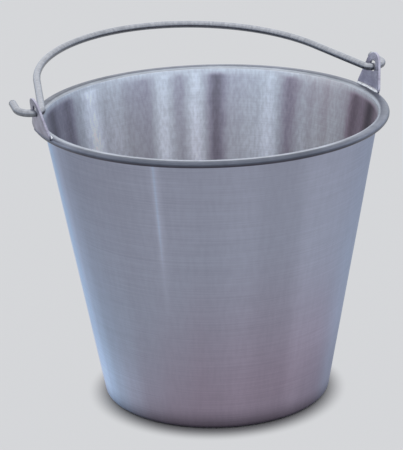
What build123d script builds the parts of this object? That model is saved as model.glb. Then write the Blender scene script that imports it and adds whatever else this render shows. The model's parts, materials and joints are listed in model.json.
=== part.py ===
from build123d import *
import math
import os

# A stainless steel milk pail: one drawn shell with an open rolled bead, two ears welded on top of the bead,
# and a wire bail that hooks through the ears and hangs in their holes.
# Frame: origin at the centre of the underside, +Z up, ears on the X axis, bail laid back towards +Y.
# All sizes in mm and degrees.

# Shell
rim_diameter = 304.8  # over the bead
base_diameter = 198.0  # where wall and underside would meet without the corner radius
pail_height = 254.0  # underside to top of bead
sheet = 0.8  # thickness of the drawn sheet
base_corner_radius = 4.0  # outside
bead_width = 9.6  # inner face of the wall to the outside of the bead
bead_height = 5.6
bead_flat = 0.2  # straight left between the two outer bends of the roll
bead_gap = 1.5  # slot between the end of the roll and the wall

# Ears
ear_thickness = 2.0
ear_foot_width = 41.5
ear_foot_inset = 0.8  # inner face of the foot inside the rim radius
ear_lean = 10.5  # outwards from vertical
ear_top_radius = 12.0
ear_crest = 11.5  # centre of the hole to the top of the ear
ear_foot_corner = 2.0
ear_fit = 0.05  # between the foot and the bead, closed by the welds
hole_rise = 18.8  # top of bead to the centre of the hole

# Welds along the foot of each ear
inner_weld_radius = 1.6
outer_weld_radius = 1.3
weld_margin = 1.5  # from the end of a run to the side of the foot

# Bail
wire_diameter = 6.35
hole_clearance = 2.0  # around the wire in the ear
wire_drop = 1.0  # how far the wire hangs below the centre of the hole
leg_clearance = 1.0  # between the wire's leg and the inner face of the ear
bail_reach = 169.0  # pivot axis to the centreline at the crown
leg_lean = 15.5  # inwards, away from the pivot
leg_bend_radius = 6.0  # centreline
hook_clearance = 10.2  # between the ear and the returned end of the hook
hook_bend_radius = 11.5  # centreline
hook_length = 27.5  # pivot axis to the tip
hook_lean = 6.0  # tip back towards the ear
tip_chamfer = 0.5
bail_tilt = 84.0  # from upright, towards +Y

# Worked out from the sizes above
rim_radius = rim_diameter / 2
wire_radius = wire_diameter / 2
bead_radius = (bead_height - bead_flat) / 2  # outer bends of the roll
bead_centre_r = rim_radius - bead_radius
bead_centre_z = pail_height - bead_height / 2
hole_height = pail_height + hole_rise
pivot_height = hole_height - wire_drop
lean = math.radians(ear_lean)
# The foot stands on the outer shoulder of the bead.
foot_r = rim_radius - ear_foot_inset
shoulder_z = pail_height - bead_radius + math.sqrt(bead_radius**2 - (foot_r - bead_centre_r) ** 2)
foot_z = shoulder_z + ear_fit


def ear_inner_r(z):
    """Radius of the ear's inner face at height z."""
    return foot_r + (z - foot_z) * math.tan(lean)


def ear_outer_r(z):
    """Radius of the ear's outer face at height z."""
    return ear_inner_r(z) + ear_thickness / math.cos(lean)


def ring(face):
    """A full turn of a section drawn on XZ about the pail's axis."""
    return revolve(face, Axis.Z, 360)


def arc_run(face, half_angle):
    """A section drawn on XZ, turned about the pail's axis to half_angle either side of +X."""
    return revolve(face.rotate(Axis.Z, -half_angle), Axis.Z, 2 * half_angle)


def section_at(r, z):
    """The plane of the sections on XZ, centred at radius r and height z."""
    return Plane(origin=(r, 0, z), x_dir=(1, 0, 0), z_dir=(0, -1, 0))


def polygon_xz(points):
    """A flat face on XZ with its corners at (r, z) points."""
    return make_face(Polyline([(r, 0, z) for r, z in points], close=True))


def make_shell():
    """Flat bottom, tapered wall and open rolled bead, as one sheet."""
    mouth_r = rim_radius - bead_width
    # The wall's outer face is a straight cone, and its inner face runs one sheet inside it to the mouth.
    taper = math.atan2(mouth_r + sheet - base_diameter / 2, bead_centre_z)
    step = sheet / math.cos(taper)  # between the two faces, measured along a radius

    def outer_r(z):
        return base_diameter / 2 + z * math.tan(taper)

    roll_end_r = outer_r(pail_height - bead_height) + bead_gap
    path = FilletPolyline(
        (0, 0, sheet),
        (outer_r(sheet) - step, 0, sheet),
        (outer_r(pail_height) - step, 0, pail_height),
        (rim_radius, 0, pail_height),
        (rim_radius, 0, pail_height - bead_height),
        (roll_end_r, 0, pail_height - bead_height),
        radius=[base_corner_radius - sheet, bead_radius, bead_radius, bead_radius],
    )
    # The path follows the inner face, so the sheet lies on its right-hand side.
    flat = Plane.XZ.to_local_coords(path)
    section = Face(flat.offset_2d(sheet, side=Side.RIGHT, closed=True))
    return ring(Plane.XZ.from_local_coords(section))


def make_ear():
    """The ear on +X: a leaning plate rolled to the curve of the rim, with a rounded top and a hole."""
    crest_z = hole_height + ear_crest
    plate = arc_run(
        polygon_xz(
            [
                (ear_inner_r(foot_z), foot_z),
                (ear_outer_r(foot_z), foot_z),
                (ear_outer_r(crest_z), crest_z),
                (ear_inner_r(crest_z), crest_z),
            ]
        ),
        math.degrees(ear_foot_width / rim_radius),
    )
    outline = ear_outline(crest_z - ear_top_radius)
    hole = Pos(0, hole_height) * Circle(wire_radius + hole_clearance)
    return plate & extrude(Plane.YZ * (outline - hole), 2 * rim_radius)


def ear_outline(top_centre_z):
    """The ear seen along X: straight sides from the foot's corners, tangent to the round top."""
    half = ear_foot_width / 2
    drop = top_centre_z - foot_z
    # Direction from the centre of the round top to the point where the straight side meets it
    touch = math.acos(ear_top_radius / math.hypot(half, drop)) - math.atan2(drop, half)
    touch_y = ear_top_radius * math.cos(touch)
    touch_z = top_centre_z + ear_top_radius * math.sin(touch)
    sides = [Line((touch_y, touch_z), (half, foot_z)), Line((half, foot_z), (-half, foot_z))]
    sides.append(Line((-half, foot_z), (-touch_y, touch_z)))
    top = ThreePointArc((-touch_y, touch_z), (0, top_centre_z + ear_top_radius), (touch_y, touch_z))
    face = make_face(sides + [top])
    return fillet(face.vertices().group_by(Axis.Y)[0], ear_foot_corner)


def make_welds(ear):
    """Two fillet runs on +X: inside the foot on top of the bead, and under the foot on the bead's shoulder."""
    half_angle = math.degrees((ear_foot_width / 2 - weld_margin) / rim_radius)
    roll = ring(section_at(rim_radius - bead_width / 2, bead_centre_z)
                * RectangleRounded(bead_width, bead_height, bead_radius))
    low, high = foot_z - 3 * inner_weld_radius, foot_z + 3 * inner_weld_radius
    # Each run stays on its own side of the edge where the foot touches the bead.
    past_ear = ring(polygon_xz([(ear_inner_r(low), low), (foot_r + 10, low),
                                (foot_r + 10, high), (ear_inner_r(high), high)]))
    inner = arc_run(section_at(foot_r, foot_z + inner_weld_radius / 3) * Circle(inner_weld_radius), half_angle)
    outer = arc_run(section_at(foot_r + outer_weld_radius, foot_z - outer_weld_radius / 4)
                    * Circle(outer_weld_radius), half_angle)
    return (inner - past_ear - roll) + (outer - roll - ear)


def make_bail():
    """One wire: hook, pass through the ear, leg, crown, and the same again mirrored."""
    ear_in = ear_inner_r(pivot_height)
    ear_out = ear_outer_r(pivot_height)
    leg_x = ear_in - leg_clearance - wire_radius
    hook_x = ear_out + hook_clearance + wire_radius
    a = math.radians(leg_lean)
    # One arc makes the crown. It is tangent to both leaning legs and reaches bail_reach.
    crown_radius = (leg_x * math.cos(a) - bail_reach * math.sin(a)) / (1 - math.sin(a))
    crown_centre = bail_reach - crown_radius
    leg_top = (crown_radius * math.cos(a), crown_centre + crown_radius * math.sin(a))
    tip = (hook_x - hook_length * math.tan(math.radians(hook_lean)), hook_length)
    half = FilletPolyline(
        tip, (hook_x, 0), (leg_x, 0), leg_top, radius=[hook_bend_radius, leg_bend_radius]
    )
    crown = ThreePointArc(leg_top, (0, bail_reach), (-leg_top[0], leg_top[1]))
    centreline = Wire([*half.edges(), *crown.edges(), *half.mirror(Plane.YZ).edges()])
    section = Plane(origin=centreline @ 0, z_dir=centreline % 0) * Circle(wire_radius)
    wire = sweep(section, path=centreline)
    ends = [face.edges() for face in wire.faces().filter_by(GeomType.PLANE)]
    wire = chamfer(ends, tip_chamfer)
    # Drawn with the pivot axis on X and the crown towards +Y: lift the crown to its tilt.
    return Pos(0, 0, pivot_height) * Rot(90 - bail_tilt, 0, 0) * wire


shell = make_shell()
ear = make_ear()
welds = make_welds(ear)
nodes = {
    "pail_shell": shell,
    "ear_right": ear,
    "ear_left": ear.rotate(Axis.Z, 180),
    "ear_weld_right": welds,
    "ear_weld_left": welds.rotate(Axis.Z, 180),
    "bail": make_bail(),
}

os.makedirs("parts", exist_ok=True)
for name, solid in nodes.items():
    export_step(solid, f"parts/{name}.step")
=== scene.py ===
"""The milk pail's looks: a drawn steel shell with a rolled bead, two welded ears and a wire bail.

Every piece stands for a CAD node and is built here with finer shape: rounded cut edges, the weld's
ripples, the wire's section and the slight unevenness of drawn sheet. Metres, in the CAD's own frame.
"""

import json
import math

import bpy
import numpy as np
from mathutils import Matrix, Vector


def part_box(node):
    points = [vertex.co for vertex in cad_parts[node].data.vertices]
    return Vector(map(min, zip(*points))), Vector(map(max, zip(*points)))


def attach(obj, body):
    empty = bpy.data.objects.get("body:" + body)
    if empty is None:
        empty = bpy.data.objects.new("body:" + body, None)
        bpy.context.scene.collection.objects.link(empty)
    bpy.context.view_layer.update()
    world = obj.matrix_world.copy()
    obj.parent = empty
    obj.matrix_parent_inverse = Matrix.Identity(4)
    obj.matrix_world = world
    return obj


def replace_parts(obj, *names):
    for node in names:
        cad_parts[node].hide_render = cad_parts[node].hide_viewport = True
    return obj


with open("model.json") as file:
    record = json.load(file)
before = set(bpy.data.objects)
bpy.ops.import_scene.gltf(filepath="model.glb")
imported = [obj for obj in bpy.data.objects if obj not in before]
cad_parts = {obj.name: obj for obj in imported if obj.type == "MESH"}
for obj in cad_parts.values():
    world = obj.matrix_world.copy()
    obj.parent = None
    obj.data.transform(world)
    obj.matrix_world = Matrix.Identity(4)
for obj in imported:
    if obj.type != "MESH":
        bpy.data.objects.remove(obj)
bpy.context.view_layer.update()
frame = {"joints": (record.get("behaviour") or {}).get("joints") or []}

MM = 0.001

# ---------------------------------------------------------------- sizes, from the CAD frame
_, shell_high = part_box("pail_shell")
RIM_R = shell_high.x
TOP_Z = shell_high.z
PIVOT_Z = frame["joints"][0]["pos_m"][2]

SHEET = 0.8 * MM
BASE_R = 99.0 * MM  # where wall and underside would meet without the corner radius
BASE_CORNER_R = 4.0 * MM
BEAD_WIDTH = 9.6 * MM
BEAD_HEIGHT = 5.6 * MM
BEAD_R = 2.7 * MM
BEAD_GAP = 1.5 * MM
BEAD_CROWN_IN = 1.1 * MM  # how far the rounded top falls to the inside and to the outside
BEAD_CROWN_OUT = 0.3 * MM

EAR_T = 2.0 * MM
EAR_FOOT_HALF = 20.75 * MM
EAR_FOOT_INSET = 0.8 * MM
EAR_LEAN = math.radians(10.5)
EAR_TOP_R = 12.0 * MM
EAR_CREST = 11.5 * MM
EAR_FOOT_CORNER = 2.0 * MM
EAR_FIT = 0.05 * MM
EAR_EDGE_R = 0.4 * MM  # rounding that stamping and tumbling leave on every edge

INNER_WELD_R = 1.6 * MM
OUTER_WELD_R = 1.3 * MM
WELD_HALF = 19.25 * MM  # half length of a run

WIRE_R = 3.175 * MM
HOLE_R = WIRE_R + 2.0 * MM
WIRE_DROP = 1.0 * MM  # how far the wire hangs below the centre of the hole
LEG_CLEARANCE = 1.0 * MM
BAIL_REACH = 169.0 * MM
LEG_LEAN = math.radians(15.5)
LEG_BEND_R = 6.0 * MM
HOOK_CLEARANCE = 10.2 * MM
HOOK_BEND_R = 11.5 * MM
HOOK_LENGTH = 27.5 * MM
HOOK_LEAN = math.radians(6.0)
TIP_CHAMFER = 0.6 * MM
BAIL_TILT = math.radians(84.0)

BEAD_R_POS = RIM_R - BEAD_R  # centre of the roll's outer bends
BEAD_Z = TOP_Z - BEAD_HEIGHT / 2
BEAD_MIDDLE = RIM_R - BEAD_WIDTH / 2
WALL_TAPER = math.atan2(RIM_R - BEAD_WIDTH + SHEET - BASE_R, BEAD_Z)
HOLE_Z = PIVOT_Z + WIRE_DROP
EAR_FOOT_R = RIM_R - EAR_FOOT_INSET
EAR_FOOT_Z = TOP_Z - BEAD_R + math.sqrt(BEAD_R**2 - (EAR_FOOT_R - BEAD_R_POS) ** 2) + EAR_FIT


def wall_r(z):
    """Radius of the wall's outer face."""
    return BASE_R + z * math.tan(WALL_TAPER)


def ear_r(z, depth=0.0):
    """Radius of the ear's inner face at height z, or of the surface depth outside it."""
    return EAR_FOOT_R + (z - EAR_FOOT_Z) * math.tan(EAR_LEAN) + depth / math.cos(EAR_LEAN)


# ---------------------------------------------------------------- curves and meshes
def rounded_path(corners, radii, arc_step=math.radians(9), run_step=8 * MM, support=0.6 * MM):
    """Points and unit tangents along straight runs joined by arcs.

    Each run has a support point beside each arc.
    """
    corners = [np.array(c, float) for c in corners]
    points, tangents = [], []

    def add(p, t):
        points.append(p)
        tangents.append(t)

    start = corners[0]
    for i, radius in enumerate(list(radii) + [0.0]):
        corner = corners[i + 1]
        u1 = (corner - corners[i]) / np.linalg.norm(corner - corners[i])
        cut = 0.0
        if radius:
            u2 = (corners[i + 2] - corner) / np.linalg.norm(corners[i + 2] - corner)
            turn = math.atan2(u1[0] * u2[1] - u1[1] * u2[0], float(u1 @ u2))
            cut = radius * math.tan(abs(turn) / 2)
        end = corner - u1 * cut
        length = float(np.linalg.norm(end - start))
        stops = {0.0, length}
        if length > 3 * support:
            stops |= {support, length - support}
            inner = length - 2 * support
            count = max(1, round(inner / run_step))
            stops |= {support + inner * k / count for k in range(1, count)}
        for s in sorted(stops):
            if points and s == 0.0:
                continue  # the arc before it ends here
            add(start + u1 * s, u1)
        if radius:
            side = math.copysign(1.0, turn)
            centre = end + side * radius * np.array([-u1[1], u1[0]])
            count = max(2, math.ceil(abs(turn) / arc_step))
            for k in range(1, count + 1):
                a = turn * k / count
                rot = np.array([[math.cos(a), -math.sin(a)], [math.sin(a), math.cos(a)]])
                add(centre + rot @ (end - centre), rot @ u1)
            start = points[-1]
    return np.array(points), np.array(tangents)


def arc_points(centre, radius, a0, a1, step):
    """Points and tangents on an arc, both ends included."""
    count = max(2, math.ceil(abs(a1 - a0) * radius / step))
    a = np.linspace(a0, a1, count + 1)
    points = np.array(centre) + radius * np.stack([np.cos(a), np.sin(a)], -1)
    tangents = np.sign(a1 - a0) * np.stack([-np.sin(a), np.cos(a)], -1)
    return points, tangents


def grid_faces(rows, columns, close_rows=False):
    """Quads of a grid of points stored row by row, each row closed on itself."""
    faces = []
    for i in range(rows if close_rows else rows - 1):
        for j in range(columns):
            i2, j2 = (i + 1) % rows, (j + 1) % columns
            faces.append((i * columns + j, i * columns + j2, i2 * columns + j2, i2 * columns + j))
    return faces


def make_piece(name, points, faces, materials, face_materials=None, uv=None):
    """A smooth-shaded mesh object in the CAD's frame."""
    mesh = bpy.data.meshes.new(name)
    mesh.from_pydata([tuple(p) for p in points], [], faces)
    for material in materials:
        mesh.materials.append(material)
    mesh.polygons.foreach_set("use_smooth", [True] * len(mesh.polygons))
    if face_materials is not None:
        mesh.polygons.foreach_set("material_index", face_materials)
    if uv is not None:
        layer = mesh.uv_layers.new(name="UVMap")
        layer.data.foreach_set("uv", np.array(uv, float).ravel())
    mesh.update()
    obj = bpy.data.objects.new(name, mesh)
    bpy.context.scene.collection.objects.link(obj)
    return obj


def half_turn(points):
    """The same points on the other side of the pail."""
    return np.array(points) * np.array([-1.0, -1.0, 1.0])


# ---------------------------------------------------------------- materials
OUTSIDE_COLOUR = (0.347, 0.363, 0.450, 1)
# Painted reflection colour of the outside's bright streaks and pale edge bands.
OUTSIDE_REFLECTION_BRIGHT = (0.325, 0.395, 0.510, 1)
OUTSIDE_FOOT_REFLECTION = (0.335, 0.280, 0.355, 1)  # painted reflection: the mauve tone low on the wall
OUTSIDE_GLOSS_TINT = (0.75, 0.86, 1.0, 1.0)
# Painted light and shade on the bead: a lit inner half, a shaded outer half and a darker underside.
BEAD_LIT = (0.300, 0.325, 0.370, 1)
BEAD_SHADED = (0.115, 0.127, 0.162, 1)
BEAD_UNDER_SHADE = (0.065, 0.060, 0.080, 1)
EAR_DULL = (0.265, 0.255, 0.325, 1)
EAR_BRIGHT = (0.385, 0.385, 0.47, 1)
WELD_DULL = (0.48, 0.50, 0.54, 1)
WELD_BRIGHT = (0.70, 0.72, 0.76, 1)
WELD_OUTER = (0.16, 0.17, 0.215, 1)  # the run on the ear's outer side is darker
WIRE_DULL = (0.240, 0.252, 0.285, 1)
WIRE_BRIGHT = (0.325, 0.340, 0.375, 1)

# Painted reflection tints of the inside: (light streaks, dark streaks) on its warmer and on its
# cooler side.
INSIDE_WARM_SIDE = ((0.99, 1.01, 1.05, 1), (1.22, 0.96, 1.13, 1))
INSIDE_COOL_SIDE = ((0.93, 1.03, 1.16, 1), (1.07, 1.06, 1.34, 1))
INSIDE_LOW_TINT = (1.02, 1.0, 0.99, 1)
WHITE = (1.0, 1.0, 1.0, 1)

INSIDE_GAIN = 1.46
INSIDE_LOW_GAIN = 1.24  # painted reflection: the lower wall is lighter than the top
INSIDE_TOP_LEVEL = 0.35  # the even band under the bead
INSIDE_BOTTOM_LEVEL = 0.27

# How far noise is taken either side of its middle value, 0.5.
PATCH_SPREAD = 0.2
FINE_SPREAD = 0.25
GRAIN_SPREAD = 0.3

STREAK_WOBBLE = 0.012  # how far the inside's streaks wander, as a share of a full turn
FOOT_REFLECTION_WARP = 40 * MM  # how uneven the mauve tone's upper edge is
SPUN_LINE_DEPTH = 0.02 * MM
SCRATCH_DEPTH = 0.03 * MM
PIT_DEPTH = 0.05 * MM


def add_node(tree, kind, feeds=None, out=0, **settings):
    """Adds a shader node, feeds its inputs with values or sockets, and returns one output."""
    node = tree.nodes.new("ShaderNode" + kind)
    for key, value in settings.items():
        setattr(node, key, value)
    for key, value in (feeds or {}).items():
        if isinstance(value, bpy.types.NodeSocket):
            tree.links.new(value, node.inputs[key])
        else:
            node.inputs[key].default_value = value
    return node.outputs[out]


def math_node(tree, operation, a, b=0.0, c=0.0, clamp=False):
    return add_node(tree, "Math", {0: a, 1: b, 2: c}, operation=operation, use_clamp=clamp)


def remap(tree, value, low, high, to_low=0.0, to_high=1.0, smooth=True):
    """value from low..high to to_low..to_high, held at both ends."""
    return add_node(
        tree,
        "MapRange",
        {"Value": value, "From Min": low, "From Max": high, "To Min": to_low, "To Max": to_high},
        interpolation_type="SMOOTHSTEP" if smooth else "LINEAR",
        clamp=True,
    )


def varied(tree, value, low, high, spread):
    """Noise, or anything round 0.5, as a factor from low to high."""
    return remap(tree, value, 0.5 - spread, 0.5 + spread, low, high)


def noise(tree, vector, scale, detail=3.0, roughness=0.5):
    return add_node(
        tree,
        "TexNoise",
        {"Vector": vector, "Scale": scale, "Detail": detail, "Roughness": roughness},
        noise_dimensions="3D",
    )


def stretched(tree, vector, sx, sy, sz):
    return add_node(tree, "Mapping", {"Vector": vector, "Scale": (sx, sy, sz)})


def mix_colour(tree, factor, a, b, blend="MIX"):
    node = tree.nodes.new("ShaderNodeMix")
    node.data_type = "RGBA"
    node.blend_type = blend
    for index, value in ((0, factor), (6, a), (7, b)):
        if isinstance(value, bpy.types.NodeSocket):
            tree.links.new(value, node.inputs[index])
        else:
            node.inputs[index].default_value = value
    return node.outputs[2]


def grey(value):
    return (value, value, value, 1.0)


def levels(tree, factor, stops):
    """A ramp through (position, value) or (position, colour) stops."""
    node = tree.nodes.new("ShaderNodeValToRGB")
    ramp = node.color_ramp
    ramp.interpolation = "EASE"
    while len(ramp.elements) > 1:
        ramp.elements.remove(ramp.elements[-1])
    for k, (position, value) in enumerate(stops):
        element = ramp.elements[0] if k == 0 else ramp.elements.new(position)
        element.position = position
        element.color = grey(value) if isinstance(value, float) else value
    tree.links.new(factor, node.inputs[0])
    return node.outputs[0]


def new_material(name):
    material = bpy.data.materials.new(name)
    material.use_nodes = True
    tree = material.node_tree
    tree.nodes.clear()
    shader = tree.nodes.new("ShaderNodeBsdfPrincipled")
    output = tree.nodes.new("ShaderNodeOutputMaterial")
    tree.links.new(shader.outputs[0], output.inputs["Surface"])
    return material, tree, shader


def feed(tree, shader, **values):
    for key, value in values.items():
        socket = shader.inputs[key.replace("_", " ")]
        if isinstance(value, bpy.types.NodeSocket):
            tree.links.new(value, socket)
        else:
            socket.default_value = value


def bump(tree, height, distance, strength):
    return add_node(tree, "Bump", {"Height": height, "Distance": distance, "Strength": strength})


class Around:
    """Coordinates about the pail's axis, for sheet that was drawn and spun round it."""

    def __init__(self, tree):
        self.tree = tree
        self.point = add_node(tree, "TexCoord", out=3)
        self.x, self.y, self.z = self._split(self.point)
        flat = add_node(tree, "CombineXYZ", {0: self.x, 1: self.y})
        self.direction = add_node(tree, "VectorMath", {0: flat}, operation="NORMALIZE")
        turn = math_node(tree, "ARCTAN2", self.y, self.x)
        self.turn = math_node(tree, "MULTIPLY_ADD", turn, 1 / (2 * math.pi), 0.5)  # 0 to 1 from -X

    def _split(self, vector):
        node = self.tree.nodes.new("ShaderNodeSeparateXYZ")
        self.tree.links.new(vector, node.inputs[0])
        return node.outputs

    def streaks(self, scale, lift=0.0, detail=2.0):
        """Noise that changes round the axis, and with height only as much as lift says."""
        lifted = math_node(self.tree, "MULTIPLY", self.z, lift)
        x, y, _ = self._split(self.direction)
        vector = add_node(self.tree, "CombineXYZ", {0: x, 1: y, 2: lifted})
        return noise(self.tree, vector, scale, detail)

    def grain(self, lines_per_mm, round_scale=14.0):
        """Fine lines that run round the pail."""
        vector = stretched(self.tree, self.point, round_scale, round_scale, lines_per_mm * 1000)
        return noise(self.tree, vector, 1.0, 3.0, 0.62)


def product(tree, level, *factors):
    for factor in factors:
        level = math_node(tree, "MULTIPLY", level, factor)
    return level


def scaled(tree, colour, *factors):
    """colour times one or more grey levels."""
    level = product(tree, *factors)
    even = add_node(tree, "CombineColor", {0: level, 1: level, 2: level})
    return mix_colour(tree, 1.0, colour, even, "MULTIPLY")


def turn_at(degrees):
    """Around.turn at an azimuth."""
    return (degrees + 180) / 360


def round_axis(around, stops):
    """A level that changes round the axis, through (degrees, value) stops."""
    return levels(around.tree, around.turn, by_azimuth(stops))


def by_azimuth(stops):
    return [(turn_at(a), v) for a, v in stops]


def spun_finish(tree, shader, grain, colour, rough, strength, metallic, anisotropic):
    """Turned lines in the gloss and the relief, and highlights that spread across them."""
    feed(tree, shader, Base_Color=colour, Metallic=metallic, Anisotropic=anisotropic)
    feed(tree, shader, Roughness=varied(tree, grain, *rough, GRAIN_SPREAD))
    feed(tree, shader, Normal=bump(tree, grain, SPUN_LINE_DEPTH, strength))
    feed(tree, shader, Tangent=add_node(tree, "Tangent", direction_type="RADIAL", axis="Z"))


# Brightness of the sheet round the inside, by azimuth in degrees: painted reflections, the soft
# streaks that drawn and polished steel shows up the whole height of the wall as it reflects its
# surroundings.
INSIDE_REFLECTION_STREAKS = (
    (-180, 0.30), (-95, 0.22), (-50, 0.34), (-22, 0.18), (-11, 0.045), (-4, 0.17), (2, 0.11),
    (9, 0.32), (15, 0.34), (19, 0.28), (23, 0.34), (26, 0.29), (29, 0.34), (36, 0.18), (44, 0.45),
    (50, 0.34), (59, 0.29), (65, 0.11), (73, 0.46), (79, 0.24), (86, 0.45), (92, 0.24), (99, 0.28),
    (107, 0.40), (111, 0.37), (117.5, 0.60), (125, 0.34), (131, 0.14), (138, 0.20), (145, 0.10),
    (156, 0.24), (180, 0.30),
)
# The same painted reflections for the outside, where the streaks are broad and faint.
OUTSIDE_REFLECTION_STREAKS = (
    (-180, 0.62), (-176, 0.52), (-167, 0.46), (-150, 0.475), (-132, 0.51), (-117, 0.50),
    (-102, 0.54), (-92, 0.50), (-84, 0.51), (-76, 0.59), (-62, 0.59), (-50, 0.56), (-38, 0.50),
    (-28, 0.49), (-10, 0.54), (25, 0.45), (45, 0.56), (70, 0.47), (95, 0.52), (115, 0.46),
    (135, 0.50), (148, 0.64), (160, 0.78), (172, 0.72), (180, 0.62),
)
# How high the painted reflection's mauve tone climbs from the foot, by azimuth, in tenths of a
# metre.
FOOT_REFLECTION_HEIGHTS = (
    (-180, 0.0), (-160, 0.12), (-145, 0.25), (-130, 0.50), (-118, 0.78), (-95, 0.88), (-65, 0.82),
    (-50, 0.55), (-40, 0.30), (0, 0.50), (90, 0.60), (150, 0.30), (180, 0.0),
)
# Two pale bands of painted reflection that widen and brighten towards the foot, by azimuth and
# share.
OUTSIDE_EDGE_REFLECTIONS = (
    (-180, 0.95), (-174, 1.0), (-166, 0.72), (-156, 0.42), (-144, 0.12), (-132, 0.0), (-88, 0.0),
    (-72, 0.12), (-60, 0.14), (-46, 0.42), (-38, 0.38), (-20, 0.25), (10, 0.0), (140, 0.0),
    (160, 0.35), (170, 0.60), (180, 0.95),
)

# How the foot's brightness, a painted reflection, differs from the wall above it, by azimuth: 0.5 is
# no difference.
FOOT_REFLECTION_LEVELS = (
    (-180, 0.57), (-161, 0.57), (-148, 0.52), (-135, 0.50), (-90, 0.50), (-76, 0.45), (-66, 0.41),
    (-50, 0.395), (-35, 0.40), (-15, 0.45), (10, 0.50), (140, 0.50), (160, 0.55), (180, 0.57),
)

# One narrow painted reflection, a bright line on the outside.
OUTSIDE_REFLECTED_LINE = ((-134, 0.0), (-132, 0.16), (-130, 0.0))
# Round the bead: how far out its painted shade starts (0 near the middle of its top, 1 near its
# outer side), and how light that painted shade is.
BEAD_SHADE_START = (
    (-180, 0.7), (-160, 1.0), (-112, 1.0), (-75, 1.0), (-50, 0.4), (-25, 0.0), (30, 0.0),
    (67, 0.0), (110, 0.0), (140, 0.0), (165, 0.2), (180, 0.7),
)
BEAD_SHADE_LEVELS = (
    (-180, 0.65), (-170, 0.65), (-150, 0.45), (-112, 0.42), (-80, 0.42), (-60, 0.65), (-30, 0.58),
    (0, 0.50), (67, 0.60), (120, 0.42), (145, 0.40), (165, 0.60), (180, 0.65),
)


def make_inside_steel():
    material, tree, shader = new_material("steel_inside")
    around = Around(tree)
    # The inside's colour is painted reflection: streaks by azimuth, a lighter lower wall, warmer and
    # cooler sides.
    wobble = noise(tree, stretched(tree, around.point, 4, 4, 14), 1.0, 2.0)
    turn = math_node(tree, "ADD", around.turn, -STREAK_WOBBLE / 2)
    turn = math_node(tree, "MULTIPLY_ADD", wobble, STREAK_WOBBLE, turn)
    streaks = levels(tree, turn, by_azimuth(INSIDE_REFLECTION_STREAKS))
    # The streaks fade into an even band where the wall turns into the bead.
    near_top = remap(tree, around.z, TOP_Z - 9 * MM, TOP_Z - 3.5 * MM)
    level = mix_colour(tree, near_top, streaks, grey(INSIDE_TOP_LEVEL))
    # They end above the corner, and the bottom is even.
    bottom = remap(tree, around.z, 5 * MM, 40 * MM, 1.0, 0.0)
    level = mix_colour(tree, bottom, level, grey(INSIDE_BOTTOM_LEVEL))
    lower = remap(tree, around.z, 185 * MM, 232 * MM, INSIDE_LOW_GAIN, 1.0, smooth=False)
    patches = varied(tree, around.streaks(55.0, 3.0, 3.0), 0.90, 1.10, PATCH_SPREAD)
    fine = varied(tree, around.grain(1.6), 0.94, 1.06, FINE_SPREAD)
    level = product(tree, level, lower, patches, fine)
    # One side reflects cooler surroundings than the other.
    side = remap(tree, around.turn, turn_at(15), turn_at(50))
    light, dark = (mix_colour(tree, side, *pair) for pair in zip(INSIDE_WARM_SIDE, INSIDE_COOL_SIDE))
    tint = mix_colour(tree, remap(tree, level, 0.12, 0.40), dark, light)
    height = remap(tree, around.z, 170 * MM, 235 * MM)
    tint = mix_colour(tree, 1.0, tint, mix_colour(tree, height, INSIDE_LOW_TINT, WHITE), "MULTIPLY")
    colour = scaled(tree, tint, level, INSIDE_GAIN)
    spun_finish(tree, shader, around.grain(2.4), colour, (0.30, 0.42), 0.25, 0.8, 0.5)
    return material


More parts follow.
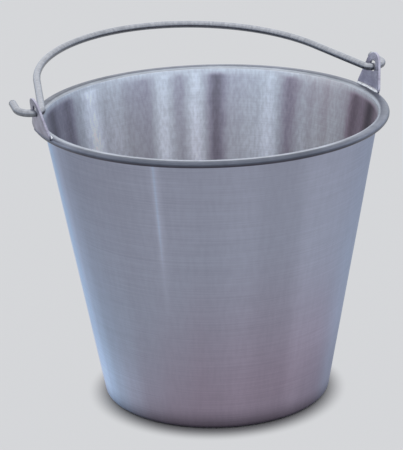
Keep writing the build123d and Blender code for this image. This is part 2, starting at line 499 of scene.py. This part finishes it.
def make_outside_steel():
    material, tree, shader = new_material("steel_outside")
    around = Around(tree)
    wall = remap(tree, around.z, 0.1 * MM, 1.0 * MM)  # 0 on the underside, which is even
    # Painted reflections: broad faint streaks round the outside.
    streaks = mix_colour(tree, wall, grey(0.5), round_axis(around, OUTSIDE_REFLECTION_STREAKS))
    # The painted reflection, a narrow bright line, runs down from the bead and fades out half way.
    line = product(tree, round_axis(around, OUTSIDE_REFLECTED_LINE), remap(tree, around.z, 90 * MM, 200 * MM))
    streaks = math_node(tree, "ADD", streaks, line)
    low = remap(tree, around.z, 40 * MM, 220 * MM, 1.0, 0.0, smooth=False)
    edge = product(tree, round_axis(around, OUTSIDE_EDGE_REFLECTIONS), low, wall)
    bright = math_node(tree, "ADD", remap(tree, streaks, 0.58, 0.72), edge, clamp=True)
    # Towards the foot a painted reflection gives the steel a warmer, mauve tone with an uneven edge.
    warp = noise(tree, stretched(tree, around.point, 9, 9, 5), 1.0, 2.0)
    height = math_node(tree, "ADD", around.z, FOOT_REFLECTION_WARP / 2)
    height = math_node(tree, "MULTIPLY_ADD", warp, -FOOT_REFLECTION_WARP, height)
    climb = math_node(tree, "MULTIPLY", round_axis(around, FOOT_REFLECTION_HEIGHTS), 100 * MM)
    mauve = remap(tree, math_node(tree, "SUBTRACT", climb, height), -95 * MM, 65 * MM)
    mauve = math_node(tree, "MULTIPLY", mauve, remap(tree, edge, 0.0, 0.9, 1.0, 0.1))
    mauve = mix_colour(tree, wall, grey(0.6), mauve)
    colour = mix_colour(tree, bright, OUTSIDE_COLOUR, OUTSIDE_REFLECTION_BRIGHT)
    colour = mix_colour(tree, mauve, colour, OUTSIDE_FOOT_REFLECTION)
    patches = varied(tree, around.streaks(38.0, 2.0, 3.0), 0.975, 1.025, PATCH_SPREAD)
    fine = varied(tree, around.grain(1.9), 0.92, 1.08, GRAIN_SPREAD)
    # The pale edge bands, painted reflections, lighten the colour.
    edge_reflection_gain = math_node(tree, "MULTIPLY_ADD", edge, 0.52, 1.0)
    # Painted reflection: the wall is painted a little darker towards the foot.
    fall = remap(tree, around.z, 20 * MM, 200 * MM, 0.94, 1.0)
    foot = math_node(tree, "MULTIPLY_ADD", round_axis(around, FOOT_REFLECTION_LEVELS), 2.0, -1.0)
    foot_height = remap(tree, around.z, 20 * MM, 80 * MM, 1.0, 0.0)
    foot = math_node(tree, "MULTIPLY_ADD", foot, foot_height, 1.0)
    foot = mix_colour(tree, wall, WHITE, foot)
    colour = scaled(tree, colour, streaks, patches, fine, edge_reflection_gain, fall, foot, 2.0)
    feed(tree, shader, Specular_Tint=OUTSIDE_GLOSS_TINT)
    spun_finish(tree, shader, around.grain(2.6), colour, (0.34, 0.46), 0.3, 1.0, 0.55)
    return material


def make_bead_steel():
    material, tree, shader = new_material("steel_bead")
    around = Around(tree)
    fine = varied(tree, around.streaks(30.0, 60.0, 3.0), 0.92, 1.08, PATCH_SPREAD)
    patches = varied(tree, around.streaks(5.0), 0.90, 1.12, PATCH_SPREAD)
    # Painted light and shade: the roll's inner half is painted light like the inside, and its outer
    # half and underside are painted darker, as shade falls there.
    flat = add_node(tree, "CombineXYZ", {0: around.x, 1: around.y})
    radius = add_node(tree, "VectorMath", {0: flat}, out=1, operation="LENGTH")
    shade_reach = round_axis(around, BEAD_SHADE_START)
    start = math_node(tree, "MULTIPLY_ADD", shade_reach, 4.5 * MM, BEAD_MIDDLE - 3.0 * MM)
    outer = remap(tree, math_node(tree, "SUBTRACT", radius, start), -0.8 * MM, 0.8 * MM)
    dark = scaled(tree, BEAD_SHADED, round_axis(around, BEAD_SHADE_LEVELS), 2.0)
    colour = mix_colour(tree, outer, BEAD_LIT, dark)
    # Painted shade under the roll.
    under = remap(tree, around.z, TOP_Z - 4.4 * MM, TOP_Z - 2.6 * MM, 1.0, 0.0)
    colour = scaled(tree, mix_colour(tree, under, colour, BEAD_UNDER_SHADE), fine, patches)
    spun_finish(tree, shader, around.grain(1.2, 60.0), colour, (0.30, 0.42), 0.3, 1.0, 0.4)
    return material


def make_ear_steel():
    material, tree, shader = new_material("steel_ear")
    point = add_node(tree, "TexCoord", out=3)
    patches = varied(tree, noise(tree, point, 90.0), 0, 1, PATCH_SPREAD)
    colour = mix_colour(tree, patches, EAR_DULL, EAR_BRIGHT)
    scratches = noise(tree, stretched(tree, point, 120, 260, 1400), 1.0, 3.0, 0.6)
    colour = scaled(tree, colour, varied(tree, scratches, 0.85, 1.15, FINE_SPREAD))
    rough = varied(tree, scratches, 0.34, 0.5, GRAIN_SPREAD)
    lines = bump(tree, scratches, SCRATCH_DEPTH, 0.35)
    feed(tree, shader, Base_Color=colour, Metallic=1.0, Roughness=rough, Normal=lines)
    return material


def make_weld_metal():
    material, tree, shader = new_material("weld_metal")
    point = add_node(tree, "TexCoord", out=3)
    patches = varied(tree, noise(tree, point, 260.0), 0, 1, PATCH_SPREAD)
    flat = stretched(tree, point, 1, 1, 0)
    radius = add_node(tree, "VectorMath", {0: flat}, out=1, operation="LENGTH")
    outer = remap(tree, radius, EAR_FOOT_R - 0.2 * MM, EAR_FOOT_R + 0.6 * MM)
    colour = mix_colour(tree, patches, WELD_DULL, WELD_BRIGHT)
    colour = mix_colour(tree, outer, colour, WELD_OUTER)
    pits = noise(tree, point, 1500.0, 2.0)
    rough = varied(tree, pits, 0.38, 0.6, PATCH_SPREAD)
    relief = bump(tree, pits, PIT_DEPTH, 0.4)
    feed(tree, shader, Base_Color=colour, Metallic=1.0, Roughness=rough, Normal=relief)
    return material


# Brightness once round the wire's section, from its side over its top: painted light on the upper
# side and painted shade on the lower side.
WIRE_TOP_LIGHT_LEVELS = ((0.0, 0.75), (0.25, 1.0), (0.5, 0.75), (0.75, 0.30), (1.0, 0.75))


def make_wire_steel():
    material, tree, shader = new_material("steel_wire")
    uv = add_node(tree, "UVMap", uv_map="UVMap")
    draw = noise(tree, stretched(tree, uv, 9.0, 70.0, 1.0), 1.0, 3.0, 0.6)  # lines along the wire
    patches = noise(tree, stretched(tree, uv, 45.0, 3.0, 1.0), 1.0)
    colour = mix_colour(tree, varied(tree, patches, 0, 1, PATCH_SPREAD), WIRE_DULL, WIRE_BRIGHT)
    split = tree.nodes.new("ShaderNodeSeparateXYZ")
    tree.links.new(uv, split.inputs[0])
    # Painted light on the wire's top and painted shade underneath.
    section = levels(tree, split.outputs[1], WIRE_TOP_LIGHT_LEVELS)
    colour = scaled(tree, colour, varied(tree, draw, 0.90, 1.10, FINE_SPREAD), section)
    rough = varied(tree, draw, 0.24, 0.36, GRAIN_SPREAD)
    lines = bump(tree, draw, SCRATCH_DEPTH, 0.3)
    feed(tree, shader, Base_Color=colour, Metallic=1.0, Roughness=rough, Normal=lines)
    return material


# ---------------------------------------------------------------- the shell
SHELL_TURNS = 288
SHEET_WAVE = 0.05 * MM
# The corner and the bead are true; the wall between them isn't.
UNEVEN_HEIGHTS = (6 * MM, 36 * MM, TOP_Z - 33 * MM, TOP_Z - 8 * MM)
UNEVEN_SHARES = (0, 1, 1, 0)
OUTSIDE_FACE, INSIDE_FACE, BEAD_FACE = 0, 1, 2  # material indexes


def unevenness(angle, z):
    """How far drawn sheet stands from a true cone."""
    return SHEET_WAVE * (
        np.sin(3 * angle + 0.7)
        + 0.8 * np.sin(7 * angle + 2.1 + 9 * z)
        + 0.6 * np.sin(11 * angle - 1.3 - 14 * z)
        + 0.7 * np.sin(2 * angle + 55 * z)
    )


def shell_profile():
    """(r, z) once round the sheet: inside from the centre to the roll's end, and back outside.

    With it, the kind of each stretch between two points.
    """
    step = SHEET / math.cos(WALL_TAPER)
    path, tangents = rounded_path(
        [
            (0.0, SHEET),
            (wall_r(SHEET) - step, SHEET),
            (wall_r(TOP_Z) - step, TOP_Z),
            (RIM_R, TOP_Z),
            (RIM_R, TOP_Z - BEAD_HEIGHT),
            (wall_r(TOP_Z - BEAD_HEIGHT) + BEAD_GAP, TOP_Z - BEAD_HEIGHT),
        ],
        [BASE_CORNER_R - SHEET, BEAD_R, BEAD_R, BEAD_R],
        arc_step=math.radians(8),
    )
    outward = np.stack([tangents[:, 1], -tangents[:, 0]], -1)
    other = path + SHEET * outward
    # The cut end of the roll is rounded over.
    middle = path[-1] + SHEET / 2 * outward[-1]
    turns = np.linspace(0, math.pi, 7)[1:-1]
    round_end = [-math.cos(a) * outward[-1] + math.sin(a) * tangents[-1] for a in turns]
    cap = [middle + SHEET / 2 * direction for direction in round_end]
    profile = np.vstack([path, cap, other[::-1]])
    # The roll's top is slightly rounded from side to side.
    across = (profile[:, 0] - BEAD_MIDDLE) / (BEAD_WIDTH / 2)
    fall = np.where(across < 0, BEAD_CROWN_IN, BEAD_CROWN_OUT) * np.clip(across, -1, 1) ** 2
    profile[:, 1] -= fall * np.clip((profile[:, 1] - BEAD_Z) / (BEAD_HEIGHT / 2), 0, 1)
    # The roll starts where the path leaves the straight wall.
    roll = int(np.argmax((path[:, 1] > BEAD_Z) & (tangents[:, 0] > math.sin(WALL_TAPER) + 1e-6)))
    rolled = 2 * (len(path) - 1 - roll) + len(cap) + 1
    return profile, [INSIDE_FACE] * roll + [BEAD_FACE] * rolled + [OUTSIDE_FACE] * roll


def make_shell(outside, inside, bead):
    profile, kinds = shell_profile()
    angles = np.linspace(0, 2 * math.pi, SHELL_TURNS, endpoint=False)
    rings = profile[1:-1]  # the first and last points are the poles
    points = []
    for r, z in rings:
        ring_r = r + np.interp(z, UNEVEN_HEIGHTS, UNEVEN_SHARES) * unevenness(angles, z)
        ring = [ring_r * np.cos(angles), ring_r * np.sin(angles), np.full_like(angles, z)]
        points.append(np.stack(ring, -1))
    points = np.vstack(points)
    faces = grid_faces(len(rings), SHELL_TURNS)
    face_kinds = []
    for i in range(len(rings) - 1):
        face_kinds += [kinds[i + 1]] * SHELL_TURNS
    first, last = len(points), len(points) + 1
    points = np.vstack([points, [[0, 0, profile[0][1]], [0, 0, profile[-1][1]]]])
    base = (len(rings) - 1) * SHELL_TURNS
    for j in range(SHELL_TURNS):
        j2 = (j + 1) % SHELL_TURNS
        faces.append((j2, j, first))
        faces.append((base + j, base + j2, last))
        face_kinds += [INSIDE_FACE, OUTSIDE_FACE]
    # Seen from the inside, a ring's quads turn the wrong way, so all faces are reversed.
    faces = [tuple(reversed(f)) for f in faces]
    return make_piece("pail_wall", points, faces, [outside, inside, bead], face_kinds)


# ---------------------------------------------------------------- ears
EAR_TURNS = 144
CREST_POINTS = 40
EDGE_POINTS = 5
FACE_POINTS = 9
EDGE_SUPPORT = 0.3 * MM


def ear_outline():
    """Closed outline of the ear seen along X, as (y, z) about the hole."""
    foot = EAR_FOOT_Z - HOLE_Z
    top_centre = EAR_CREST - EAR_TOP_R
    drop = top_centre - foot
    touch = math.acos(EAR_TOP_R / math.hypot(EAR_FOOT_HALF, drop)) - math.atan2(drop, EAR_FOOT_HALF)
    top = [
        (EAR_TOP_R * math.cos(a), top_centre + EAR_TOP_R * math.sin(a))
        for a in np.linspace(touch, math.pi - touch, CREST_POINTS)
    ]
    lower, _ = rounded_path(
        [top[-1], (-EAR_FOOT_HALF, foot), (EAR_FOOT_HALF, foot), top[0]],
        [EAR_FOOT_CORNER, EAR_FOOT_CORNER],
        run_step=MM,
    )
    return np.array(top[:-1] + [tuple(p) for p in lower[:-1]])


def reach(outline, direction):
    """Distance from the hole's centre to the outline along a direction."""
    a, b = outline, np.roll(outline, -1, axis=0)
    edge = b - a
    cross = direction[0] * edge[:, 1] - direction[1] * edge[:, 0]
    cross = np.where(np.abs(cross) < 1e-15, 1e-15, cross)
    t = (a[:, 0] * edge[:, 1] - a[:, 1] * edge[:, 0]) / cross
    s = (a[:, 0] * direction[1] - a[:, 1] * direction[0]) / cross
    return t[(t > 0) & (s > -1e-6) & (s < 1 + 1e-6)].min()


def ear_points():
    """Rows of points, one row per direction from the hole, each once round the plate's section."""
    outline = ear_outline()
    quarter = np.linspace(0, math.pi / 2, EDGE_POINTS)
    corner = [EAR_EDGE_R * (1 - math.cos(a)) for a in quarter]
    rise = [EAR_EDGE_R * math.sin(a) for a in quarter]
    rows = []
    for a in np.linspace(0, 2 * math.pi, EAR_TURNS, endpoint=False):
        direction = np.array([math.cos(a), math.sin(a)])
        inner, outer = HOLE_R, reach(outline, direction)
        side = []  # from the hole's wall over the outer face to the edge of the plate
        for c, r in zip(corner, rise):
            side.append((inner + c, EAR_T - EAR_EDGE_R + r))
        for t in np.linspace(0, 1, FACE_POINTS):
            low, high = inner + EAR_EDGE_R + EDGE_SUPPORT, outer - EAR_EDGE_R - EDGE_SUPPORT
            side.append((low + (high - low) * t, EAR_T))
        for c, r in zip(reversed(corner), reversed(rise)):
            side.append((outer - c, EAR_T - EAR_EDGE_R + r))
        back = [(rho, EAR_T - w) for rho, w in reversed(side)]
        loop = side + back
        row = []
        for rho, depth in loop:
            y, z = rho * direction[0], HOLE_Z + rho * direction[1]
            radius = ear_r(z, depth)
            row.append((math.sqrt(radius * radius - y * y), y, z))
        rows.append(row)
    return rows


def make_ear(name, node, left, material):
    rows = ear_points()
    points = np.array([p for row in rows for p in row])
    if left:
        points = half_turn(points)
    faces = grid_faces(len(rows), len(rows[0]), close_rows=True)
    ear = make_piece(name, points, faces, [material])
    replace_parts(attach(ear, "pail"), node)


# ---------------------------------------------------------------- welds
WELD_STATIONS = 150
WELD_SIDES = 16
WELD_RIPPLE_PITCH = 0.55 * MM  # per radian of the ripple's wave
WELD_RIPPLE = 0.07  # of the run's radius
WELD_DRIFT = 0.05
WELD_DRIFT_POINTS = 9
WELD_END_SHARE = 0.05  # radius left at the very ends
WELD_END_POWER = 14  # how suddenly a run tapers


def weld_run(centre_r, centre_z, size, seed):
    """A weld bead along the foot of the ear, with the ripples of a hand weld and tapered ends."""
    rng = np.random.default_rng(seed)
    count, sides = WELD_STATIONS, WELD_SIDES
    s = np.linspace(-1, 1, count)
    ends = np.sqrt(np.clip(1 - np.abs(s) ** WELD_END_POWER, 0.0, 1.0))
    knots = np.linspace(-1, 1, WELD_DRIFT_POINTS)
    drift = np.interp(s, knots, rng.uniform(-1, 1, WELD_DRIFT_POINTS))
    points = []
    for k in range(count):
        along = s[k] * WELD_HALF
        angle = along / RIM_R
        ripple = 1 + WELD_RIPPLE * math.sin(along / WELD_RIPPLE_PITCH) + WELD_DRIFT * drift[k]
        radius = size * max(WELD_END_SHARE, ends[k]) * ripple
        for j in range(sides):
            a = 2 * math.pi * j / sides
            r, z = centre_r + radius * math.cos(a), centre_z + radius * math.sin(a)
            points.append((r * math.cos(angle), r * math.sin(angle), z))
    faces = [tuple(reversed(f)) for f in grid_faces(count, sides)]
    faces.append(tuple(range(sides)))
    faces.append(tuple(reversed(range((count - 1) * sides, count * sides))))
    return points, faces


def make_weld(name, node, left, material):
    inner = (EAR_FOOT_R - INNER_WELD_R / 3, EAR_FOOT_Z + INNER_WELD_R / 6, 1.25 * INNER_WELD_R)
    outer = (EAR_FOOT_R + OUTER_WELD_R, EAR_FOOT_Z - OUTER_WELD_R / 4, OUTER_WELD_R)
    points, faces = [], []
    for place, seed in ((inner, 5 + left), (outer, 7 + left)):
        run, run_faces = weld_run(*place, seed)
        faces += [tuple(i + len(points) for i in f) for f in run_faces]
        points += run
    points = np.array(points)
    if left:
        points = half_turn(points)
    weld = make_piece(name, points, faces, [material])
    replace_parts(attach(weld, "pail"), node)


# ---------------------------------------------------------------- bail
WIRE_SIDES = 32
UV_LENGTH = 100 * MM  # length of wire for one unit of u
CAP_UV_R = 0.03


def bail_centreline():
    """Points and tangents of the wire's centreline in the bail's plane.

    x is along the pivot and y towards the crown.
    """
    ear_in, ear_out = ear_r(PIVOT_Z), ear_r(PIVOT_Z, EAR_T)
    leg_x = ear_in - LEG_CLEARANCE - WIRE_R
    hook_x = ear_out + HOOK_CLEARANCE + WIRE_R
    crown_r = leg_x * math.cos(LEG_LEAN) - BAIL_REACH * math.sin(LEG_LEAN)
    crown_r /= 1 - math.sin(LEG_LEAN)
    crown_y = BAIL_REACH - crown_r
    leg_top = (crown_r * math.cos(LEG_LEAN), crown_y + crown_r * math.sin(LEG_LEAN))
    tip = (hook_x - HOOK_LENGTH * math.tan(HOOK_LEAN), HOOK_LENGTH)
    side, side_t = rounded_path(
        [tip, (hook_x, 0), (leg_x, 0), leg_top],
        [HOOK_BEND_R, LEG_BEND_R],
        arc_step=math.radians(5),
        run_step=3 * MM,
    )
    arc, arc_t = arc_points((0, crown_y), crown_r, LEG_LEAN, math.pi - LEG_LEAN, 2.5 * MM)
    mirror = np.array([-1.0, 1.0])
    points = np.vstack([side, arc[1:-1], (side * mirror)[::-1]])
    tangents = np.vstack([side_t, arc_t[1:-1], -(side_t * mirror)[::-1]])
    return points, tangents


def make_bail(material):
    line, tangents = bail_centreline()
    length = np.concatenate([[0], np.cumsum(np.linalg.norm(np.diff(line, axis=0), axis=1))])
    # Chamfered ends: an extra ring just inside each tip, and a smaller one at it.
    body = (length > 2 * TIP_CHAMFER) & (length < length[-1] - 2 * TIP_CHAMFER)
    stations = [(line[0], tangents[0], WIRE_R - TIP_CHAMFER, 0.0)]
    stations.append((line[0] + tangents[0] * TIP_CHAMFER, tangents[0], WIRE_R, TIP_CHAMFER))
    stations += [(line[k], tangents[k], WIRE_R, length[k]) for k in np.nonzero(body)[0]]
    end = length[-1] - TIP_CHAMFER
    stations.append((line[-1] - tangents[-1] * TIP_CHAMFER, tangents[-1], WIRE_R, end))
    stations.append((line[-1], tangents[-1], WIRE_R - TIP_CHAMFER, length[-1]))
    tilt = math.pi / 2 - BAIL_TILT
    across = np.array([0.0, -math.sin(tilt), math.cos(tilt)])  # the plane's own normal
    plane_x, plane_y = np.array([1.0, 0, 0]), np.array([0, math.cos(tilt), math.sin(tilt)])
    points = []
    for p, t, radius, _ in stations:
        centre = plane_x * p[0] + plane_y * p[1] + np.array([0, 0, PIVOT_Z])
        side = plane_x * -t[1] + plane_y * t[0]
        for j in range(WIRE_SIDES):
            a = 2 * math.pi * j / WIRE_SIDES
            points.append(centre + radius * (math.cos(a) * side + math.sin(a) * across))
    faces = grid_faces(len(stations), WIRE_SIDES)
    uv = []
    for i in range(len(stations) - 1):
        u0, u1 = stations[i][3] / UV_LENGTH, stations[i + 1][3] / UV_LENGTH
        for j in range(WIRE_SIDES):
            v0, v1 = j / WIRE_SIDES, (j + 1) / WIRE_SIDES
            uv += [(u0, v0), (u0, v1), (u1, v1), (u1, v0)]
    first = tuple(range(WIRE_SIDES))
    last = tuple(range((len(stations) - 1) * WIRE_SIDES, len(stations) * WIRE_SIDES))
    turns = [2 * math.pi * j / WIRE_SIDES for j in range(WIRE_SIDES)]
    for cap in (tuple(reversed(first)), last):
        faces.append(cap)
        uv += [(0.5 + CAP_UV_R * math.cos(a), 0.5 + CAP_UV_R * math.sin(a)) for a in turns]
    bail = make_piece("bail_wire", points, faces, [material], uv=uv)
    for polygon in bail.data.polygons[-2:]:
        polygon.use_smooth = False
    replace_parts(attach(bail, "bail"), "bail")


# ---------------------------------------------------------------- stage
SKY_STRENGTH = 1.5
SKY_LEVELS = (  # from just below the horizon to straight up
    (0.0, (0.55, 0.61, 0.72, 1)),
    (0.12, (0.62, 0.68, 0.78, 1)),
    (0.30, (0.92, 0.95, 1.0, 1)),
    (0.55, (1.0, 1.0, 1.0, 1)),
    (1.0, (0.90, 0.90, 0.90, 1)),
)
FLOOR_HALF = 12.0
FLOOR_DROP = 0.2 * MM  # keeps the floor's face off the pail's underside
# Painted shadow: the dark diffuse paint of the floor round the pail's base.
FLOOR_SHADOW_PAINT = (0.15, 0.15, 0.155, 1)
FLOOR_GLOW_SHARE = 0.96
FLOOR_GLOW = (0.685, 0.695, 0.715, 1)
SHADOW_CENTRE = (-3.1 * MM, -7.4 * MM, 0.0)  # the painted shadow is centred a little towards the front of the pail


def make_floor():
    mesh = bpy.data.meshes.new("floor")
    corners = [(-1, -1), (1, -1), (1, 1), (-1, 1)]
    mesh.from_pydata([(x * FLOOR_HALF, y * FLOOR_HALF, 0) for x, y in corners], [], [(0, 1, 2, 3)])
    floor = bpy.data.objects.new("floor", mesh)
    bpy.context.scene.collection.objects.link(floor)
    floor.location.z = -FLOOR_DROP
    material = bpy.data.materials.new("floor_paint")
    material.use_nodes = True
    tree = material.node_tree
    tree.nodes.clear()
    diffuse = add_node(tree, "BsdfDiffuse", {"Color": FLOOR_SHADOW_PAINT})
    glow = add_node(tree, "Emission", {"Color": FLOOR_GLOW, "Strength": 1.0})
    # The pale floor mostly glows, evenly bright; near the pail's base it fades to dark diffuse
    # paint, a painted contact shadow that real occlusion deepens.
    point = add_node(tree, "TexCoord", out=3)
    offset = add_node(tree, "VectorMath", {0: point, 1: SHADOW_CENTRE}, operation="SUBTRACT")
    distance = add_node(tree, "VectorMath", {0: offset}, out=1, operation="LENGTH")
    away = remap(tree, distance, BASE_R - 8 * MM, BASE_R + 17 * MM, 0.0, FLOOR_GLOW_SHARE)
    both = add_node(tree, "MixShader", {0: away, 1: diffuse, 2: glow})
    output = tree.nodes.new("ShaderNodeOutputMaterial")
    tree.links.new(both, output.inputs["Surface"])
    mesh.materials.append(material)


def make_world():
    world = bpy.data.worlds.new("studio")
    bpy.context.scene.world = world
    world.use_nodes = True
    tree = world.node_tree
    tree.nodes.clear()
    direction = add_node(tree, "TexCoord", out=0)
    split = tree.nodes.new("ShaderNodeSeparateXYZ")
    tree.links.new(direction, split.inputs[0])
    up = remap(tree, split.outputs[2], -0.1, 1.0, smooth=False)
    sky = levels(tree, up, SKY_LEVELS)
    background = add_node(tree, "Background", {"Color": sky, "Strength": SKY_STRENGTH})
    output = tree.nodes.new("ShaderNodeOutputWorld")
    tree.links.new(background, output.inputs["Surface"])


LIGHT_PLACE = (0.0, 0.3, 2.2)
LIGHT_TARGET = (0, 0, 0.1)
LIGHT_SIZE = 2.0
LIGHT_POWER = 5.0


def make_light():
    light = bpy.data.lights.new("overhead", "AREA")
    light.shape = "DISK"
    light.size = LIGHT_SIZE
    light.energy = LIGHT_POWER
    obj = bpy.data.objects.new("overhead", light)
    bpy.context.scene.collection.objects.link(obj)
    obj.location = LIGHT_PLACE
    ahead = Vector(LIGHT_TARGET) - Vector(LIGHT_PLACE)
    obj.rotation_euler = ahead.to_track_quat("-Z", "Y").to_euler()


CAMERA_AZIMUTH = 0.39220  # the pail is turned by this before the camera looks along +Y
CAMERA_PITCH = 0.33352
CAMERA_ROLL = -0.02692
CAMERA_DISTANCE = 1.81505
CAMERA_TARGET = (-0.010396, 0.0, 0.14932)
CAMERA_LENS = 166.72


def make_camera():
    ahead = Vector((0, math.cos(CAMERA_PITCH), -math.sin(CAMERA_PITCH)))
    right, up = Vector((1, 0, 0)), Vector((0, math.sin(CAMERA_PITCH), math.cos(CAMERA_PITCH)))
    c, s = math.cos(CAMERA_ROLL), math.sin(CAMERA_ROLL)
    axes = Matrix((right * c + up * s, up * c - right * s, -ahead)).transposed().to_4x4()
    place = Matrix.Translation(Vector(CAMERA_TARGET) - ahead * CAMERA_DISTANCE)
    camera = bpy.data.cameras.new("camera")
    camera.sensor_width = 36.0
    camera.sensor_fit = "AUTO"
    camera.lens = CAMERA_LENS
    camera.clip_end = 100.0
    obj = bpy.data.objects.new("camera", camera)
    bpy.context.scene.collection.objects.link(obj)
    obj.matrix_world = Matrix.Rotation(-CAMERA_AZIMUTH, 4, "Z") @ place @ axes
    bpy.context.scene.camera = obj


# ---------------------------------------------------------------- build
bpy.context.scene.view_settings.view_transform = "Standard"
make_camera()
make_floor()
make_world()
make_light()

outside, inside, bead = make_outside_steel(), make_inside_steel(), make_bead_steel()
ear_steel, weld_metal, wire_steel = make_ear_steel(), make_weld_metal(), make_wire_steel()

shell = make_shell(outside, inside, bead)
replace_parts(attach(shell, "pail"), "pail_shell")
for side, left in (("right", 0), ("left", 1)):
    make_ear("ear_plate_" + side, "ear_" + side, left, ear_steel)
    make_weld("weld_runs_" + side, "ear_weld_" + side, left, weld_metal)
make_bail(wire_steel)
